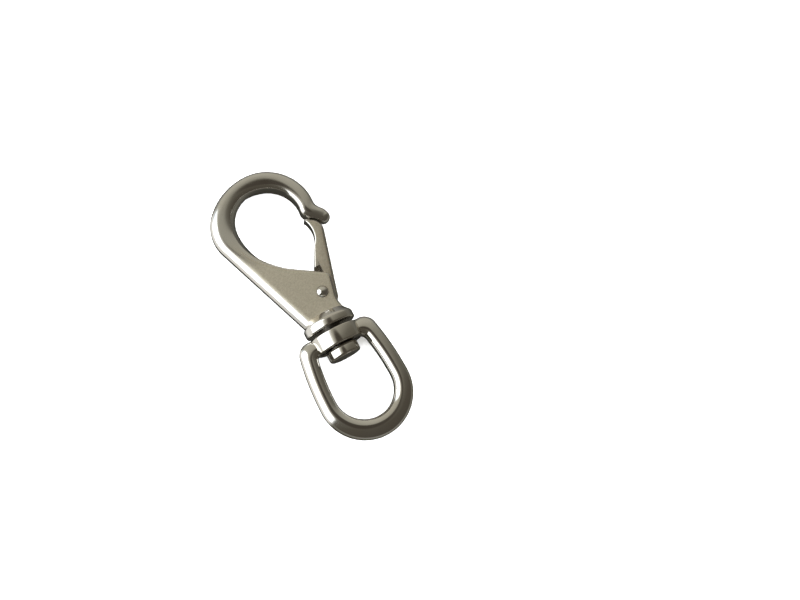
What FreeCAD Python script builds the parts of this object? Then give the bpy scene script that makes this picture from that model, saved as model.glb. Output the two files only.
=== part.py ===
"""Swivel-eye spring snap hook, cast stainless steel, 120 mm long.

Frame: the hook lies flat in the XY plane, mid-plane at z = 0.
Origin: centre of the swivel eye's bearing arc. +Y runs along the swivel axis towards the bow,
+X points to the gate's side, +Z is the normal of the flat faces. Millimetres throughout.
"""
import FreeCAD, Part
import math
import os

V = FreeCAD.Vector
Z_AXIS = V(0, 0, 1)
Y_AXIS = V(0, 1, 0)
X_AXIS = V(1, 0, 0)
ORIGIN = V(0, 0, 0)

# ---------------------------------------------------------------- swivel eye
eye_bearing_r = 12.3        # inner arc that a shackle or rope bears on
eye_outer_r = 19.3          # outer arc round the bottom of the eye
eye_outer_drop = 1.3        # the outer arc's centre lies this far below the origin
eye_leg_in_r = 95.0         # the legs draw in towards the boss on these wide arcs
eye_leg_out_r = 113.0
eye_half = 4.0              # half thickness of the legs
eye_outer_round = 3.5       # rounding of the outer edges
eye_inner_round = 2.5       # rounding of the inner edges
eye_shoulder_r = 5.5        # corner radius from leg to shoulder
eye_shoulder_y = 26.2       # top of the shoulders
eye_inner_corner_r = 2.0    # corner radius of the opening, under the boss
boss_r = 10.2               # round boss that carries the swivel
boss_bottom = 19.2
boss_top = 25.7
boss_edge = 0.6

# ---------------------------------------------------------------- swivel pin and collar
pin_r = 4.0
pin_running_gap = 0.08      # radial gap in the boss
head_r = 6.7
head_bottom = 14.4
head_gap = 0.3              # head to boss
head_edge = 1.1
collar_r = 10.7
collar_bottom = 27.2
collar_rim_top = 30.4       # the straight rim ends here and rounds in to the shank
collar_top = 33.2
collar_neck_r = 8.2
collar_edge = 0.7
collar_round = 1.8
pin_top = 33.0              # blind end of the pin's seat in the shank

# ---------------------------------------------------------------- shank and cheeks
body_half = 4.5             # half thickness of the shank
back_round = 4.0            # rounding of the outer edges of bow and back
cheek_round = 1.3           # rounding of the inner, top and right edges
back_lean = 19.7            # lean of the straight back from the swivel axis, degrees
top_slope = 31.0            # slope of the cheeks' top edge, degrees below +X
cheek_corner = V(9.8, 47.3, 0)
cheek_corner_r = 2.8
cheek_foot = V(7.6, 38.2, 0)
foot_flare_r = 9.0          # the right edge flares out again to the collar
foot_flare_end = 206.0      # end of the flare, degrees round its centre
shank_bottom = 31.0         # buried in the collar
slot_half = 3.0             # half width of the slot between the cheeks
slot_floor_x = -2.5
slot_bottom = 34.3
slot_far_x = 15.0           # beyond the right edge
slot_far_y = 62.0           # beyond the top edge

# ---------------------------------------------------------------- bow and beak
bow_centre = V(-2.1, 78.0, 0)
bow_bearing_r = 13.4        # inner arc that the load bears on
throat_r = 26.7             # inner arc from the bow down to the cheeks
bow_top = V(-1.4, 99.4, 0)
nose_side_r = 19.7          # outer arcs of the bow, tangent to each other: towards the beak,
crown_r = 26.6              # over the crown
back_r = 16.4               # and round to the straight back
crown_to_back = 141.0       # where the crown arc meets the back arc, degrees
beak_start = -8.0           # where the bow ends and the beak begins, degrees
land_half = 3.1             # half height of the flat bearing land
dome_wide = 3.1             # the dome rises from the land over this width
dome_mid_along = 0.4        # the dome's arc passes this share of its width
dome_mid_up = 0.68          # and this share of its rise
dome_fade = 0.7             # at the cheeks the dome is this share of the cheeks' rounding
joint_step = 0.03           # the beak starts this much inside the bow's end all round
beak_shapes = (             # inner point, outer point, half thickness, half land, dome width
    (V(11.1, 75.1, 0), V(18.6, 75.9, 0), 4.4, 2.9, 3.0),
    (V(12.2, 72.6, 0), V(19.7, 74.3, 0), 4.1, 2.5, 2.9),
    (V(14.4, 70.6, 0), V(20.8, 73.1, 0), 3.6, 2.0, 2.6),
    (V(16.2, 69.0, 0), V(21.4, 71.8, 0), 3.2, 1.7, 2.4),
)
knob_centre = V(18.6, 70.6, 0)
knob_r = 3.1

# ---------------------------------------------------------------- gate
pivot = V(3.2, 41.5, 0)
gate_half = 2.8
gate_nose_centre = V(11.2, 66.4, 0)
gate_nose_r = 5.5
gate_nose_start = 94.0      # inner corner of the nose, degrees round its centre
gate_lean = 16.2            # lean of the gate's outer edge, degrees
gate_hub_r = 5.0
gate_hub_end = 165.0        # where the hub's arc ends, degrees
gate_tail_r = 1.8
gate_heel = V(4.6, 50.6, 0)
gate_inner_foot = V(5.4, 52.2, 0)
gate_inner_knee = V(9.4, 60.2, 0)
gate_inner_belly = V(12.0, 66.4, 0)
gate_outer_round = 1.5
gate_web = 2.0              # wall left behind the spring pocket
gate_pocket_half = 1.7
gate_pocket_r = 3.4         # room round the spring's coil
notch_right = 7.7
notch_bottom = 48.9
seat_gap = 0.25             # gate nose to its seat in the beak
nose_path_low = V(9.0, 60.0, 0)     # the nose leaves through this part of the beak's underside
nose_path_wide = 6.0
nose_path_high = 14.0

# ---------------------------------------------------------------- rivet and spring
rivet_r = 1.6
rivet_running_gap = 0.05
rivet_head_r = 2.4
rivet_head_high = 1.5
wire_r = 0.35
bend_swell = 0.02           # the wire is this much fatter where a leg leaves the coil
coil_r = 2.45               # to the centre of the wire
coil_pitch = 0.85
gate_leg_angle = 66.0       # spring leg that pushes the gate, degrees from +X
body_leg_angle = 108.0      # spring leg that rests on the slot's floor
gate_leg_long = 10.6
body_leg_long = 9.7


# ---------------------------------------------------------------- geometry helpers
def heading(degrees):
    """Unit vector in the mid-plane."""
    a = math.radians(degrees)
    return V(math.cos(a), math.sin(a), 0)


def on_circle(centre, radius, degrees):
    """Point on a circle in the mid-plane."""
    return centre + heading(degrees) * radius


def arc(centre, radius, start, end):
    """Arc edge between two angles."""
    return Part.Arc(*[on_circle(centre, radius, d) for d in (start, (start + end) / 2, end)]).toShape()


def line(a, b):
    return Part.makeLine(a, b)


def corner(before, at, after, radius):
    """Tangent points and arc that round the corner of two straight runs."""
    u = (before - at).normalize()
    w = (after - at).normalize()
    half = u.getAngle(w) / 2
    reach = radius / math.tan(half)
    start = at + u * reach
    end = at + w * reach
    middle = at + (u + w).normalize() * (radius / math.sin(half) - radius)
    return start, Part.Arc(start, middle, end).toShape(), end


def plate(edges, half):
    """Flat solid between z = -half and z = +half."""
    face = Part.Face(Part.Wire(Part.__sortEdges__(edges)))
    face.translate(Z_AXIS * -half)
    return face.extrude(Z_AXIS * (2 * half))


def disc(centre, radius, half):
    """Round plate about the Z direction."""
    return Part.makeCylinder(radius, 2 * half, centre - Z_AXIS * half, Z_AXIS)


def upright(radius, bottom, top):
    """Cylinder on the swivel axis."""
    return Part.makeCylinder(radius, top - bottom, Y_AXIS * bottom, Y_AXIS)


def rims(solid, radius, y):
    """Circular edges of a turned solid at one radius and height."""
    found = []
    for edge in solid.Edges:
        box = edge.BoundBox
        flat = box.YLength < 0.01 and abs(box.YMin - y) < 0.01
        if flat and abs(box.XLength / 2 - radius) < 0.05:
            found.append(edge)
    return found


def face_edges(solid, half, wanted):
    """Edges in the faces z = -half and z = +half whose middle point is wanted."""
    found = []
    for edge in solid.Edges:
        box = edge.BoundBox
        level = box.ZLength < 0.001 and abs(abs(box.ZMin) - half) < 0.001
        if level and wanted(edge.valueAt((edge.FirstParameter + edge.LastParameter) / 2)):
            found.append(edge)
    return found


def near(wire, point):
    """True where a point, seen along Z, lies on a wire of the mid-plane."""
    return wire.distToShape(Part.Vertex(point.x, point.y, 0))[0] < 0.01


# ---------------------------------------------------------------- hook body
throat_centre = V(bow_centre.x - bow_bearing_r + throat_r, bow_centre.y, 0)
throat_end = 270 - top_slope
nose_side_centre = bow_top - Y_AXIS * nose_side_r
crown_centre = bow_top - Y_AXIS * crown_r
back_centre = on_circle(crown_centre, crown_r - back_r, crown_to_back)
back_start = on_circle(back_centre, back_r, 180 + back_lean)
beak_out = on_circle(nose_side_centre, nose_side_r, beak_start)
beak_ray = line(nose_side_centre, beak_out)
bow_circle = Part.Wire(Part.makeCircle(bow_bearing_r, bow_centre))
beak_in = bow_circle.distToShape(beak_ray)[1][0][0]


def back_at(y):
    """Point of the straight back at height y."""
    along = heading(back_lean - 90)
    return back_start + along * ((y - back_start.y) / along.y)


def outer_wire():
    """Outer edge of the bow and back, from the beak round to the collar."""
    return Part.Wire([
        arc(nose_side_centre, nose_side_r, beak_start, 90),
        arc(crown_centre, crown_r, 90, crown_to_back),
        arc(back_centre, back_r, crown_to_back, 180 + back_lean),
        line(back_start, back_at(shank_bottom)),
    ])


def inner_wire():
    """Inner edge: bearing arc, throat, top edge of the cheeks, corner and right edge."""
    start = math.degrees(math.atan2(beak_in.y - bow_centre.y, beak_in.x - bow_centre.x))
    top = on_circle(throat_centre, throat_r, throat_end)
    round_in, round_edge, round_out = corner(top, cheek_corner, cheek_foot, cheek_corner_r)
    run = (cheek_foot - round_out).normalize()
    flare_centre = cheek_foot + V(-run.y, run.x, 0) * foot_flare_r
    flare_start = math.degrees(math.atan2(-run.x, run.y)) % 360
    return Part.Wire([
        arc(bow_centre, bow_bearing_r, start, 180),
        arc(throat_centre, throat_r, 180, throat_end),
        line(top, round_in),
        round_edge,
        line(round_out, cheek_foot),
        arc(flare_centre, foot_flare_r, flare_start, foot_flare_end),
    ])


def blank():
    """Bow and shank as one flat blank with rounded edges."""
    outer = outer_wire()
    inner = inner_wire()
    inner_end = inner.OrderedVertexes[-1].Point
    foot = V(inner_end.x, shank_bottom, 0)
    edges = outer.Edges + inner.Edges
    edges += [line(beak_in, beak_out), line(inner_end, foot), line(foot, back_at(shank_bottom))]
    block = plate(edges, body_half)
    block = block.makeFillet(back_round, face_edges(block, body_half, lambda p: near(outer, p)))
    block = block.makeFillet(cheek_round, face_edges(block, body_half, lambda p: near(inner, p)))
    return block


def dome_profile(start, outward, wide, land, side):
    """Region above the inner dome, to be cut away. side: +1 upper face, -1 lower face."""
    def at(along, z):
        return start + outward * along + Z_AXIS * (z * side)

    middle = at(wide * dome_mid_along, land + (body_half - land) * dome_mid_up)
    clear = body_half + back_round
    outside = -cheek_round
    return Part.Wire([
        Part.Arc(at(0, land), middle, at(wide, body_half)).toShape(),
        line(at(wide, body_half), at(wide, clear)),
        line(at(wide, clear), at(outside, clear)),
        line(at(outside, clear), at(outside, land)),
        line(at(outside, land), at(0, land)),
    ])


def dome_tools(side):
    """Cutters for the dome beside the bearing land, fading out along the throat."""
    first = dome_profile(on_circle(bow_centre, bow_bearing_r, -30), heading(-30), dome_wide, land_half, side)
    ring = Part.Face(first).revolve(bow_centre, Z_AXIS, 210)
    sections = []
    for share in (0, 0.25, 0.5, 0.75, 1):
        degrees = 180 + (throat_end - 180) * share
        wide = dome_wide + (cheek_round * dome_fade - dome_wide) * share
        land = land_half + (body_half - cheek_round * dome_fade - land_half) * share
        start = on_circle(throat_centre, throat_r, degrees)
        sections.append(dome_profile(start, heading(degrees), wide, land, side))
    return [ring, Part.makeLoft(sections, True, False, False, 3)]


def beak_section(inner, outer, half, land, wide):
    """D-shaped section of the beak: flat land, domed faces, round outer edge."""
    u = (outer - inner).normalize()
    width = (outer - inner).Length
    back = width - wide
    rim = half * (1 - back_round / body_half)
    s = math.sqrt(0.5)

    def at(along, z):
        return inner + u * along + Z_AXIS * z

    edges = [line(at(0, -land), at(0, land))]
    rise = half - land
    dome = [at(0, land), at(wide * dome_mid_along, land + rise * dome_mid_up), at(wide, half)]
    edges.append(Part.Arc(*dome).toShape())
    round_top = [at(width - back, half), at(width - back + back * s, rim + (half - rim) * s), at(width, rim)]
    edges.append(Part.Arc(*round_top).toShape())
    edges.append(line(at(width, rim), at(width, -rim)))
    round_low = [V(p.x, p.y, -p.z) for p in reversed(round_top)]
    edges.append(Part.Arc(*round_low).toShape())
    edges.append(Part.Arc(*[V(p.x, p.y, -p.z) for p in reversed(dome)]).toShape())
    return Part.Wire(edges)


def beak():
    """Beak: curls outward from the bow and ends in a round knob."""
    across = (beak_out - beak_in).normalize()
    first = beak_section(beak_in + across * joint_step, beak_out - across * joint_step,
                         body_half - joint_step, land_half - joint_step, dome_wide)
    sections = [first] + [beak_section(*shape) for shape in beak_shapes]
    return Part.makeLoft(sections, True, False, False, 3)


def nose_reach():
    """Distance from the hinge to the far side of the gate's nose."""
    return (gate_nose_centre - pivot).Length + gate_nose_r


def nose_clearance():
    """Space under the beak: the seat of the gate's nose, and the path by which it leaves."""
    seat = disc(gate_nose_centre, gate_nose_r + seat_gap, body_half * 2)
    path = disc(pivot, nose_reach() + seat_gap, body_half * 2)
    low = nose_path_low - Z_AXIS * (body_half * 2)
    beside = Part.makeBox(nose_path_wide, nose_path_high, body_half * 4, low)
    return [seat, path.common(beside)]


def slot():
    """Space between the cheeks for the gate's tail, open to the right and to the bow."""
    hub_room = pivot.x - slot_floor_x
    low = pivot - Y_AXIS * hub_room
    step = V(low.x + low.y - slot_bottom, slot_bottom, 0)
    far_low = V(slot_far_x, slot_bottom, 0)
    far_top = V(slot_far_x, slot_far_y, 0)
    floor_top = V(slot_floor_x, slot_far_y, 0)
    edges = [
        line(floor_top, V(slot_floor_x, pivot.y, 0)),
        arc(pivot, hub_room, 180, 270),
        line(low, step),
        line(step, far_low),
        line(far_low, far_top),
        line(far_top, floor_top),
    ]
    return plate(edges, slot_half)


def collar():
    """Round collar under the shank."""
    profile = [(0, collar_bottom), (collar_r, collar_bottom), (collar_r, collar_rim_top),
               (collar_neck_r, collar_top), (0, collar_top)]
    points = [V(r, y, 0) for r, y in profile]
    ring = Part.Face(Part.makePolygon(points + points[:1])).revolve(ORIGIN, Y_AXIS, 360)
    ring = ring.makeFillet(collar_round, rims(ring, collar_r, collar_rim_top))
    return ring.makeFillet(collar_edge, rims(ring, collar_r, collar_bottom))


def hook_body():
    """Hook casting: bow, beak, slotted shank and collar in one piece."""
    bow = blank()
    for tool in dome_tools(1) + dome_tools(-1):
        bow = bow.cut(tool)
    whole = bow.fuse(beak().fuse(Part.makeSphere(knob_r, knob_centre))).fuse(collar())
    rivet_hole = disc(pivot, rivet_r, body_half * 2)
    pin_seat = upright(pin_r, collar_bottom, pin_top)
    for tool in nose_clearance() + [slot(), rivet_hole, pin_seat]:
        whole = whole.cut(tool)
    return whole


# ---------------------------------------------------------------- gate
gate_outer_top = on_circle(gate_nose_centre, gate_nose_r, -gate_lean)


def gate_outer_at(y):
    """Point of the gate's straight outer edge at height y."""
    along = heading(270 - gate_lean)
    return gate_outer_top + along * ((y - gate_outer_top.y) / along.y)


def gate_blank():
    """Outline of nose, arm and tail, with the outer edges rounded."""
    nose_in = on_circle(gate_nose_centre, gate_nose_r, gate_nose_start)
    tail = gate_outer_at(pivot.y - gate_hub_r)
    hub_low = pivot - Y_AXIS * gate_hub_r
    round_in, round_edge, round_out = corner(gate_outer_top, tail, hub_low, gate_tail_r)
    outer = Part.Wire([
        arc(gate_nose_centre, gate_nose_r, gate_nose_start, -gate_lean),
        line(gate_outer_top, round_in),
        round_edge,
    ])
    edges = outer.Edges + [
        line(round_out, hub_low),
        arc(pivot, gate_hub_r, 270, gate_hub_end),
        line(on_circle(pivot, gate_hub_r, gate_hub_end), gate_heel),
        line(gate_heel, gate_inner_foot),
        line(gate_inner_foot, gate_inner_knee),
        Part.Arc(gate_inner_knee, gate_inner_belly, nose_in).toShape(),
    ]
    block = plate(edges, gate_half)
    for side in (1, -1):
        rounded = face_edges(block, gate_half, lambda p: p.z * side > 0 and near(outer, p))
        block = block.makeFillet(gate_outer_round, rounded)
    return block


def spring_pocket():
    """Hollow of the tail: room for the coil, open towards the slot's floor."""
    inward = heading(180 - gate_lean) * gate_web
    low_y = pivot.y - gate_pocket_r
    high = gate_outer_at(gate_heel.y) + inward
    low = gate_outer_at(low_y) + inward
    open_high = V(slot_floor_x, high.y, 0)
    open_low = V(slot_floor_x, low.y, 0)
    edges = [line(open_high, high), line(high, low), line(low, open_low), line(open_low, open_high)]
    return plate(edges, gate_pocket_half)


def gate():
    """Gate casting: nose, arm, a heel notched on its upper side and a hollow tail round the rivet."""
    notch_wide = notch_right - slot_floor_x
    notch_high = gate_inner_foot.y - notch_bottom
    notch_deep = gate_pocket_half + gate_half * 2
    notch = Part.makeBox(notch_wide, notch_high, notch_deep, V(slot_floor_x, notch_bottom, -gate_pocket_half))
    whole = gate_blank()
    bore = disc(pivot, rivet_r + rivet_running_gap, gate_half * 2)
    for tool in (spring_pocket(), notch, bore):
        whole = whole.cut(tool)
    return whole


def gate_rivet():
    """Rivet: plain shank with a domed head on each cheek."""
    top = body_half + rivet_head_high
    dome_r = (rivet_head_r ** 2 + rivet_head_high ** 2) / (2 * rivet_head_high)
    lean = math.asin(rivet_head_r / dome_r) / 2
    side = V(dome_r * math.sin(lean), 0, top - dome_r + dome_r * math.cos(lean))

    def low(point):
        return V(point.x, point.y, -point.z)

    axis_top = V(0, 0, top)
    rim = V(rivet_head_r, 0, body_half)
    neck = V(rivet_r, 0, body_half)
    edges = [
        Part.Arc(axis_top, side, rim).toShape(),
        line(rim, neck),
        line(neck, low(neck)),
        line(low(neck), low(rim)),
        Part.Arc(low(rim), low(side), low(axis_top)).toShape(),
        line(low(axis_top), axis_top),
    ]
    solid = Part.Face(Part.Wire(edges)).revolve(ORIGIN, Z_AXIS, 360)
    return solid.translated(pivot)


def gate_spring():
    """Torsion spring: coil round the rivet, one leg on the gate, one on the slot's floor."""
    start_angle = gate_leg_angle - 90
    end_angle = body_leg_angle + 90
    turns = 2 + (start_angle - end_angle + 360) / 360
    high = coil_pitch * turns
    steps = round(turns * 12)
    rings = []
    for i in range(steps + 1):
        degrees = start_angle - 360 * turns * i / steps
        centre = on_circle(pivot, coil_r, degrees) + Z_AXIS * (high * (i / steps - 0.5))
        along = heading(degrees - 90) + Z_AXIS * (coil_pitch / (2 * math.pi * coil_r))
        rings.append(Part.Wire(Part.makeCircle(wire_r, centre, along)))
    coil = Part.makeLoft(rings, True, False)
    spring = coil
    legs = ((start_angle, gate_leg_angle, gate_leg_long, -high / 2),
            (end_angle, body_leg_angle, body_leg_long, high / 2))
    for root_angle, angle, length, z in legs:
        root = on_circle(pivot, coil_r, root_angle) + Z_AXIS * z
        spring = spring.fuse(Part.makeSphere(wire_r + bend_swell, root))
        spring = spring.fuse(Part.makeCylinder(wire_r, length, root, heading(angle)))
    return spring


# ---------------------------------------------------------------- swivel
def eye_ring():
    """Ring of the eye: round bottom, tall legs and square shoulders, all edges rounded."""
    out_centre = V(0, -eye_outer_drop, 0)

    def leg(reach, wide_r, low_y, high_y, side):
        """Leg edge and its top end. It leaves the bottom arc upright and bends inward."""
        def at(y):
            return V(side * (reach - (y - low_y) ** 2 / (2 * wide_r)), y, 0)

        return Part.Arc(at(low_y), at((low_y + high_y) / 2), at(high_y)).toShape(), at(high_y)

    def outline(reach, wide_r, low_y, top_y, radius):
        """Closed edge with rounded top corners."""
        edges = [arc(V(0, low_y, 0), reach, 180, 360)]
        tops = []
        for side in (1, -1):
            edge, high = leg(reach, wide_r, low_y, top_y - radius, side)
            lean = (high.y - low_y) / wide_r
            run = V(-side * lean, 1, 0).normalize()
            reach_up = (top_y - high.y) / run.y
            at = high + run * reach_up
            round_in, round_edge, round_out = corner(high, at, at - X_AXIS * side, radius)
            edges += [edge, line(high, round_in), round_edge]
            tops.append(round_out)
        return Part.Wire(Part.__sortEdges__(edges + [line(tops[0], tops[1])]))

    outer = outline(eye_outer_r, eye_leg_out_r, out_centre.y, eye_shoulder_y, eye_shoulder_r)
    inner = outline(eye_bearing_r, eye_leg_in_r, 0, boss_bottom, eye_inner_corner_r)
    block = plate(outer.Edges, eye_half).cut(plate(inner.Edges, eye_half))
    block = block.makeFillet(eye_outer_round, face_edges(block, eye_half, lambda p: near(outer, p)))
    return block.makeFillet(eye_inner_round, face_edges(block, eye_half, lambda p: near(inner, p)))


def swivel_eye():
    """Swivel eye: ring with a round boss, bored for the swivel pin."""
    boss = upright(boss_r, boss_bottom, boss_top)
    boss = boss.makeFillet(boss_edge, rims(boss, boss_r, boss_bottom) + rims(boss, boss_r, boss_top))
    bore = upright(pin_r + pin_running_gap, boss_bottom - 1, boss_top + 1)
    return eye_ring().fuse(boss).cut(bore)


def swivel_pin():
    """Headed pin: the head carries the eye, the stem is pressed into the collar."""
    head_top = boss_bottom - head_gap
    head = upright(head_r, head_bottom, head_top)
    head = head.makeFillet(head_edge, rims(head, head_r, head_bottom) + rims(head, head_r, head_top))
    return head.fuse(upright(pin_r, head_top - head_edge, pin_top))


os.makedirs("parts", exist_ok=True)
for name, solid in (
    ("hook_body", hook_body()),
    ("gate", gate()),
    ("gate_rivet", gate_rivet()),
    ("gate_spring", gate_spring()),
    ("swivel_eye", swivel_eye()),
    ("swivel_pin", swivel_pin()),
):
    solid.exportStep("parts/" + name + ".step")
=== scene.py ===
"""Looks of the swivel-eye snap hook: fine meshes over the CAD frame, steel materials, studio.

Shapes are in millimetres in the part's frame and become metres when a mesh is made.
"""

import math

import bmesh
import bpy
import numpy as np
from mathutils import Matrix, Vector


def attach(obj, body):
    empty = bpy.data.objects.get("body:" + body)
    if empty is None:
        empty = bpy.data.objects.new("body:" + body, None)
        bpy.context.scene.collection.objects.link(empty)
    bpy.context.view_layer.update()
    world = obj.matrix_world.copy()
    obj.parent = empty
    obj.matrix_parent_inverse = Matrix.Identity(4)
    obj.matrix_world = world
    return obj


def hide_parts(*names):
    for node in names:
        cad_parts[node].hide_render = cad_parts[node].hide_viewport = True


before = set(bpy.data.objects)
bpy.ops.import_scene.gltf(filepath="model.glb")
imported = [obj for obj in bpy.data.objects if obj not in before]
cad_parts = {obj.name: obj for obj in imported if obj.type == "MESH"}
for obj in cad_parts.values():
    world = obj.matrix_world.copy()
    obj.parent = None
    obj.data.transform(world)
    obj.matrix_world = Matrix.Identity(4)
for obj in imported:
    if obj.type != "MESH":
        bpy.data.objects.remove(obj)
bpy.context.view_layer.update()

MM = 0.001
SHARP_ANGLE = 33.0   # edges that turn by more degrees stay sharp
ON_AXIS = 1e-4       # radius of a ring that closes a turned shape at its axis
TURN_COUNT = 160     # points round a turned shape
MITER_LIMIT = 0.3    # keeps a plate's rounding from reaching far in at a sharp corner
NEARLY = 1e-6
PARALLEL = 1e-9      # cross product under which two runs count as parallel


# ------------------------------------------------------------------ small geometry helpers
def heading(degrees):
    """Unit vectors at angles from +X."""
    a = np.radians(np.asarray(degrees, float))
    return np.stack([np.cos(a), np.sin(a)], -1)


def angle_of(vector):
    return math.degrees(math.atan2(vector[1], vector[0]))


def nearest_turn(angle, other, turn):
    """The angle moved by whole turns until it is within half a turn of the other."""
    while angle - other > turn / 2:
        angle -= turn
    while angle - other < -turn / 2:
        angle += turn
    return angle


def smooth_step(x, low, high):
    t = np.clip((x - low) / (high - low), 0, 1)
    return t * t * (3 - 2 * t)


def mixed(a, b, share):
    """a at share 0, b at share 1."""
    return a + (b - a) * share


def straight(a, b, count):
    """Points from a to b, evenly spaced."""
    a, b = np.asarray(a, float), np.asarray(b, float)
    return a + (b - a) * np.linspace(0, 1, count)[:, None]


def line_run(a, b, count, normal):
    """Points from a to b, with one normal for all."""
    return straight(a, b, count), np.repeat(np.asarray(normal, float)[None, :], count, 0)


def arc_run(centre, radius, start, end, count, side):
    """Points on an arc and the normal into the metal: side +1 outward from the centre, -1 towards it."""
    h = heading(np.linspace(start, end, count))
    return np.asarray(centre) + radius * h, side * h


def join(runs):
    """One path from runs that follow on, dropping the doubled points."""
    points = [runs[0][0]] + [p[1:] for p, _ in runs[1:]]
    normals = [runs[0][1]] + [n[1:] for _, n in runs[1:]]
    return np.concatenate(points), np.concatenate(normals)


def length_along(points):
    steps = np.linalg.norm(np.diff(points, axis=0), axis=1)
    return np.concatenate([[0.0], np.cumsum(steps)])


def at_length(s, lengths, points):
    """Point of a plane path at the distance s along it."""
    return np.stack([np.interp(s, lengths, points[:, k]) for k in (0, 1)], -1)


def evenly(points, count):
    """A plane path's points, spread evenly along its length."""
    lengths = length_along(points)
    return at_length(np.linspace(0, lengths[-1], count), lengths, points)


def turn_about(centre, points):
    """Unwrapped angle of each point about a centre, in radians."""
    return np.unwrap(np.arctan2(points[:, 1] - centre[1], points[:, 0] - centre[0]))


def round_corner(before, at, after, radius):
    """Centre of the corner's arc and its two tangent points."""
    before, at, after = (np.asarray(p, float) for p in (before, at, after))
    u = (before - at) / np.linalg.norm(before - at)
    w = (after - at) / np.linalg.norm(after - at)
    half = math.acos(float(u @ w)) / 2
    start = at + u * radius / math.tan(half)
    end = at + w * radius / math.tan(half)
    inward = (u + w) / np.linalg.norm(u + w)
    return at + inward * radius / math.sin(half), start, end


def three_point_arc(a, m, b, count):
    """Points of the arc through three points of a plane."""
    a, m, b = (np.asarray(p, float) for p in (a, m, b))
    lhs = np.array([m - a, b - a]) * 2
    rhs = np.array([m @ m - a @ a, b @ b - a @ a])
    c = np.linalg.solve(lhs, rhs)
    angles = [math.atan2(*(p - c)[::-1]) for p in (a, m, b)]
    for i in (1, 2):
        angles[i] = nearest_turn(angles[i], angles[i - 1], 2 * math.pi)
    t = np.linspace(angles[0], angles[2], count)
    return c + np.linalg.norm(a - c) * np.stack([np.cos(t), np.sin(t)], -1)


def fillet_profile(corners, rounds, steps):
    """Polyline with rounded corners: rounds[i] is the radius at corners[i]."""
    points = [np.asarray(corners[0], float)]
    for i in range(1, len(corners) - 1):
        if rounds[i] <= 0:
            points.append(np.asarray(corners[i], float))
            continue
        centre, start, end = round_corner(corners[i - 1], corners[i], corners[i + 1], rounds[i])
        first = angle_of(start - centre)
        last = nearest_turn(angle_of(end - centre), first, 360)
        points.extend(centre + rounds[i] * heading(np.linspace(first, last, steps)))
    points.append(np.asarray(corners[-1], float))
    return np.array(points)


def circle_outline(centre, radius, count):
    return np.asarray(centre) + radius * heading(np.linspace(0, 360, count, endpoint=False))


# ------------------------------------------------------------------ mesh helpers
def shell(rings, close_rows=False):
    """Closed skin over rings of equal length: (points, faces)."""
    rings = np.asarray(rings, float)
    rows, columns = rings.shape[:2]
    faces = []
    for i in range(rows if close_rows else rows - 1):
        for j in range(columns):
            here, above = i * columns, ((i + 1) % rows) * columns
            after = (j + 1) % columns
            faces.append([here + j, here + after, above + after, above + j])
    if not close_rows:
        faces.append(list(range(columns))[::-1])
        faces.append([(rows - 1) * columns + k for k in range(columns)])
    return rings.reshape(-1, 3), faces


def turned(profile, axis, count=TURN_COUNT, centre=(0, 0, 0), ring_shaped=False):
    """Skin of revolution. profile: (radius, along) pairs. axis: "Y" or "Z"."""
    around = np.linspace(0, 2 * math.pi, count, endpoint=False)
    rings = []
    for radius, along in np.asarray(profile, float):
        radius = max(radius, ON_AXIS)
        c, s, k = radius * np.cos(around), radius * np.sin(around), np.full(count, along)
        rings.append(np.stack([s, k, c] if axis == "Y" else [c, s, k], -1))
    points, faces = shell(rings, close_rows=ring_shaped)
    return points + np.asarray(centre, float), faces


def prism(outline, low, high):
    """Upright prism over a plane outline."""
    outline = np.asarray(outline, float)
    return shell([np.column_stack([outline, np.full(len(outline), z)]) for z in (low, high)])


def tube(points, radius, count=20):
    """Round wire along points."""
    along = np.gradient(points, axis=0)
    along /= np.linalg.norm(along, axis=1)[:, None]
    angles = np.linspace(0, 2 * math.pi, count, endpoint=False)
    rings = []
    for p, t in zip(points, along):
        side = np.cross([0, 0, 1.0], t)
        side /= np.linalg.norm(side)
        other = np.cross(t, side)
        rings.append(p + radius * (np.outer(np.cos(angles), side) + np.outer(np.sin(angles), other)))
    return shell(rings)


def rounded_plate(outline, widths, half, steps=8):
    """Plate whose edges are rounded by widths[i] at outline[i]. The outline runs counter-clockwise."""
    edge = np.roll(outline, -1, 0) - outline
    edge /= np.linalg.norm(edge, axis=1)[:, None]
    normal = np.column_stack([edge[:, 1], -edge[:, 0]])
    before = np.roll(normal, 1, 0)
    miter = (normal + before) / (1 + np.sum(normal * before, axis=1))[:, None].clip(MITER_LIMIT)
    rings = []
    for phi in np.linspace(math.pi / 2, 0, steps):
        d = widths * (1 - math.cos(phi))
        z = half - widths * (1 - math.sin(phi))
        rings.append(np.column_stack([outline - miter * d[:, None], z]))
    return shell(rings + [ring * [1, 1, -1] for ring in rings[::-1]])


def merge(*parts):
    """Several skins as one (points, faces)."""
    points, faces, base = [], [], 0
    for p, f in parts:
        points.append(p)
        faces += [[k + base for k in face] for face in f]
        base += len(p)
    return np.concatenate(points), faces


def finish_shading(obj):
    obj.data.shade_smooth()
    obj.data.set_sharp_from_angle(angle=math.radians(SHARP_ANGLE))


def face_outward(obj):
    edit = bmesh.new()
    edit.from_mesh(obj.data)
    bmesh.ops.recalc_face_normals(edit, faces=edit.faces)
    edit.to_mesh(obj.data)
    edit.free()


def make_object(name, part, material=None):
    points, faces = part
    mesh = bpy.data.meshes.new(name)
    mesh.from_pydata((points * MM).tolist(), [], faces)
    mesh.validate()
    obj = bpy.data.objects.new(name, mesh)
    bpy.context.scene.collection.objects.link(obj)
    face_outward(obj)
    finish_shading(obj)
    if material:
        mesh.materials.append(material)
    return obj


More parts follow.
